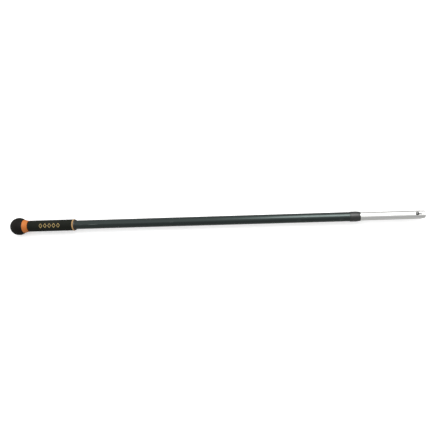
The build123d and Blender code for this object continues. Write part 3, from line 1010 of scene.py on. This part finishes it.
def bend_round_axis(tree, shape, sizes):
    """Wraps flat geometry round the pole's axis at the grip's radius."""
    spot = place(tree, "GeometryNodeInputPosition").outputs[0]
    flat = separate(tree, spot)
    swung = calculate(tree, "DIVIDE", flat["Y"], sizes["Grip radius"])
    angle = calculate(tree, "SUBTRACT", sizes["Turn"], swung)
    radius = calculate(tree, "ADD", flat["Z"], sizes["Grip radius"])
    backward = calculate(tree, "MULTIPLY", radius, -1.0)
    new_y = calculate(tree, "MULTIPLY", calculate(tree, "SINE", angle), backward)
    new_z = calculate(tree, "MULTIPLY", calculate(tree, "COSINE", angle), radius)
    new_x = calculate(tree, "ADD", flat["X"], sizes["Middle X"])
    bent = combine(tree, new_x, new_y, new_z)
    return place(tree, "GeometryNodeSetPosition", {"Geometry": shape, "Position": bent}).outputs[0]


steps_between = calculate(lozenge_tree, "SUBTRACT", given["Count"], 1.0)
row_long = calculate(lozenge_tree, "MULTIPLY", steps_between, given["Spacing"])
row_start = combine(lozenge_tree, calculate(lozenge_tree, "MULTIPLY", row_long, -0.5))
row_step = combine(lozenge_tree, given["Spacing"])
row = place(
    lozenge_tree,
    "GeometryNodeMeshLine",
    {"Count": given["Count"], "Start Location": row_start, "Offset": row_step},
    mode="OFFSET",
)
copies = place(
    lozenge_tree,
    "GeometryNodeInstanceOnPoints",
    {"Points": row.outputs[0], "Instance": bar_sweep(lozenge_tree, given)},
)
real = place(lozenge_tree, "GeometryNodeRealizeInstances", {"Geometry": copies.outputs[0]})
bent_row = bend_round_axis(lozenge_tree, real.outputs[0], given)
coated = place(lozenge_tree, "GeometryNodeSetMaterial", {"Geometry": bent_row, "Material": given["Finish"]})
close_group(lozenge_tree, result, Geometry=coated.outputs[0])


# %% Running a tree
def grow(name, tree, **values):
    """Runs a geometry tree with the values given by input name, and returns the result as a plain mesh."""
    carrier = add_object(name, bpy.data.meshes.new(name))
    modifier = carrier.modifiers.new(name, "NODES")
    modifier.node_group = tree
    wanted = {label.replace("_", " "): value for label, value in values.items()}
    for item in tree.interface.items_tree:
        if item.item_type == "SOCKET" and item.in_out == "INPUT" and item.name in wanted:
            modifier[item.identifier] = wanted[item.name]
    apply_modifiers(carrier)
    draft = bmesh.new()
    draft.from_mesh(carrier.data)
    bmesh.ops.remove_doubles(draft, verts=draft.verts, dist=1e-6)
    bmesh.ops.recalc_face_normals(draft, faces=draft.faces)
    draft.to_mesh(carrier.data)
    draft.free()
    print(f"{name}: {len(carrier.data.polygons)} faces")
    return carrier


# %% Lozenges on the grip
grip_start, _, grip_r = span("grip_sleeve")
CAMERA_RISE = 75.0  # degrees above the floor, on the -Y side
ROW_MIDDLE = 67.5 * MM  # from the grip's back end
lozenges = grow(
    "grip_lozenges",
    lozenge_tree,
    Middle_X=grip_start + ROW_MIDDLE,
    Grip_radius=grip_r,
    Turn=radians(90 - CAMERA_RISE),
    Finish=marking_ink,
)
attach(lozenges, "outer")

# %% [markdown]
# ## Geometry Nodes: the lock's thread
#
# Twisting the pole turns a threaded spindle inside it, which draws a cone into a split sleeve. A thread is
# a rule, not a drawing: the radius at any point depends only on how far along it is and on its angle. So
# the tree starts from a plain cylinder with many rings and moves each point in or out by that rule. Along
# the axis the radius rises and falls once per pitch, and the angle shifts the pattern, which winds it
# into a helix. The crests and roots are flattened, and the groove gets shallower at both ends.

# %% Tree: thread
thread_tree, given, result = open_group(
    "Thread",
    "GeometryNodeTree",
    [
        ("Start X", FLOAT, 0.0),
        ("Length", FLOAT, 88.0 * MM),
        ("Pitch", FLOAT, 2.0 * MM),
        ("Crest radius", FLOAT, 4.0 * MM),
        ("Depth", FLOAT, 0.55 * MM),
        ("Rings", "NodeSocketInt", 352),
        ("Finish", "NodeSocketMaterial", None),
    ],
    [("Geometry", "NodeSocketGeometry")],
)
bar = place(
    thread_tree,
    "GeometryNodeMeshCylinder",
    {
        "Vertices": 36,
        "Side Segments": given["Rings"],
        "Radius": given["Crest radius"],
        "Depth": given["Length"],
    },
    fill_type="TRIANGLE_FAN",
)
spot = separate(thread_tree, place(thread_tree, "GeometryNodeInputPosition").outputs[0])
half_long = calculate(thread_tree, "MULTIPLY", given["Length"], 0.5)
along = calculate(thread_tree, "ADD", spot["Z"], half_long)
angle = calculate(thread_tree, "ARCTAN2", spot["Y"], spot["X"])
turns_along = calculate(thread_tree, "DIVIDE", along, given["Pitch"])
turns_round = calculate(thread_tree, "DIVIDE", angle, 2 * pi)
phase = calculate(thread_tree, "SUBTRACT", turns_along, turns_round)
wave = calculate(thread_tree, "COSINE", calculate(thread_tree, "MULTIPLY", phase, 2 * pi))
groove = remap(thread_tree, wave, -0.55, 0.55, 1.0, 0.0)
from_end = calculate(thread_tree, "SUBTRACT", half_long, calculate(thread_tree, "ABSOLUTE", spot["Z"]))
run_out = 3.0 * MM
fade = remap(thread_tree, from_end, 0.0, run_out, 0.35, 1.0)
cut_in = calculate(thread_tree, "MULTIPLY", calculate(thread_tree, "MULTIPLY", groove, fade), given["Depth"])
cut_radius = calculate(thread_tree, "SUBTRACT", given["Crest radius"], cut_in)
scale_in = calculate(thread_tree, "DIVIDE", cut_radius, given["Crest radius"])
thread_spot = combine(
    thread_tree,
    calculate(thread_tree, "ADD", along, given["Start X"]),
    calculate(thread_tree, "MULTIPLY", spot["X"], scale_in),
    calculate(thread_tree, "MULTIPLY", spot["Y"], scale_in),
)
wound = place(thread_tree, "GeometryNodeSetPosition", {"Geometry": bar.outputs[0], "Position": thread_spot})
finished = {"Geometry": wound.outputs[0], "Material": given["Finish"]}
coated = place(thread_tree, "GeometryNodeSetMaterial", finished)
real = place(thread_tree, "GeometryNodeRealizeInstances", {"Geometry": coated.outputs[0]})
close_group(thread_tree, result, Geometry=real.outputs[0])

# %% Lock spindle
screw_start, screw_end, screw_r = span("lock_spindle")
lock_spindle = grow(
    "lock_spindle_thread",
    thread_tree,
    Start_X=screw_start,
    Length=screw_end - screw_start,
    Crest_radius=screw_r,
    Finish=zinc_steel,
)
lock_spindle.data.shade_smooth()
fit(lock_spindle, "inner", "lock_spindle")

# %% [markdown]
# ## Finishes for the pieces inside
#
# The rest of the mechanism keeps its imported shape. Each piece only needs the right finish.

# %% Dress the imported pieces
INSIDE = {
    "knob_core": black_plastic,
    "knob_bush": acetal,
    "swivel_spindle": zinc_steel,
    "retaining_clip": spring_steel,
    "retaining_washer": zinc_steel,
    "thrust_washer": acetal,
    "end_plug": black_plastic,
    "plug_pin": zinc_steel,
    "guide_bush": acetal,
    "wiper_ring": felt,
    "expander_sleeve": black_plastic,
    "drag_ring": grip_rubber,
    "cone_nut": acetal,
    "lock_plug": black_plastic,
    "tail_guide": acetal,
    "tail_screw": zinc_steel,
    "lock_pin": zinc_steel,
}
for name, material in INSIDE.items():
    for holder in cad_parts[name].material_slots:
        holder.material = material
print(len(INSIDE), "packed pieces dressed")

# %% [markdown]
# ## Floor, light and camera
#
# The pole lies on a pale floor in soft light. In a studio the floor would be a light table: it glows a
# little, which thins the shadows, and dark cards beside the product keep its glare off the edges. Here a
# Light Path node does both jobs: the camera sees the glowing table, and everything else sees a greyer one.
# Most of the light comes from the world, which is brighter overhead and behind the pole than on the
# camera's side: the bright and dark bands along a polished tube are only a reflection of what is round it,
# so the surroundings are what shape it. One softbox over the tool end adds the strong highlight there.


# %% Floor
def make_floor():
    half = 6.0
    low_z = cad_low.z
    corners = [(-half, -half, low_z), (half, -half, low_z), (half, half, low_z), (-half, half, low_z)]
    material, tree, held_back = open_material("studio floor", Specular_IOR_Level=0.1)
    clouds = use(tree, moulded_grain, Grain_per_metre=400.0, Cloud_per_metre=3.0)
    colour = blend_colour(tree, clouds["Shade"], srgb("a3a3a2"), srgb("a9a9a8"))
    roughness = remap(tree, clouds["Shade"], 0.0, 1.0, 0.75, 0.85)
    close_material(tree, held_back, colour, roughness, clouds["Height"], depth=0.05 * MM, strength=0.1)
    table = place(tree, "ShaderNodeBsdfDiffuse", {"Color": srgb("e6e6e6")})
    glow = place(tree, "ShaderNodeEmission", {"Color": srgb("ffffff"), "Strength": 0.42})
    lit_table = place(tree, "ShaderNodeAddShader", {0: table.outputs[0], 1: glow.outputs[0]})
    seen = place(tree, "ShaderNodeLightPath").outputs["Is Camera Ray"]
    mixed = place(tree, "ShaderNodeMixShader", {0: seen, 1: held_back.outputs[0], 2: lit_table.outputs[0]})
    tree.links.new(mixed.outputs[0], tree.nodes["Material Output"].inputs["Surface"])
    return new_object("floor", corners, [[0, 1, 2, 3]], material)


floor = make_floor()


# %% World
def make_world():
    """A studio that is brightest a little behind overhead and dimmest low on the camera's side."""
    world = bpy.data.worlds.new("studio")
    bpy.context.scene.world = world
    world.use_nodes = True
    tree = world.node_tree
    background = tree.nodes["Background"]
    direction = place(tree, "ShaderNodeTexCoord").outputs["Generated"]
    across = separate(tree, direction)["Y"]
    ramp = place(tree, "ShaderNodeValToRGB", {"Fac": remap(tree, across, -1.0, 1.0, 0.0, 1.0)})
    stops = [(0.0, 0.48), (0.07, 0.38), (0.24, 0.58), (0.45, 0.86), (0.68, 1.0), (0.90, 0.80), (1.0, 0.62)]
    elements = ramp.color_ramp.elements
    while len(elements) < len(stops):
        elements.new(0.5)
    for element, (spot, value) in zip(elements, stops):
        element.position = spot
        element.color = (value, value, value, 1.0)
    tree.links.new(ramp.outputs["Color"], background.inputs["Color"])
    background.inputs["Strength"].default_value = 1.35


make_world()


# %% Softbox
def make_softbox(name, spot, aim, size, power):
    lamp = bpy.data.lights.new(name, "AREA")
    lamp.shape = "RECTANGLE"
    lamp.size, lamp.size_y = size
    lamp.energy = power
    made = add_object(name, lamp)
    made.location = spot
    made.rotation_euler = (Vector(aim) - Vector(spot)).to_track_quat("-Z", "Y").to_euler()


make_softbox(
    "tool end softbox", spot=(0.04, 0.52, 1.25), aim=(-0.05, 0.0, 0.0), size=(0.95, 0.95), power=21.0
)

# %% Camera
AIM = Vector((TOOL_FACE - 0.5330, 0.0012, 0.0))
DISTANCE = 1.3
LENS = 38.5
SENSOR = 36.0
YAW = radians(7.4)  # the tool end is nearer the camera
RISE = radians(CAMERA_RISE)
ROLL = radians(1.72)  # the pole climbs this much to the right
look = Vector((-sin(YAW), cos(YAW) * cos(RISE), -cos(YAW) * sin(RISE)))
along_pole = (Vector((1, 0, 0)) - look * look.x).normalized()
upward = (-look).cross(along_pole)
right = along_pole * cos(ROLL) - upward * sin(ROLL)
top = along_pole * sin(ROLL) + upward * cos(ROLL)

camera_data = bpy.data.cameras.new("camera")
camera_data.sensor_width = SENSOR
camera_data.lens = LENS
camera = add_object("camera", camera_data)
turned = Matrix((right, top, -look)).transposed().to_4x4()
camera.matrix_world = Matrix.Translation(AIM - look * DISTANCE) @ turned
bpy.context.scene.camera = camera
bpy.context.scene.view_settings.view_transform = "Standard"
print("camera at, m:", [round(v, 3) for v in camera.location])
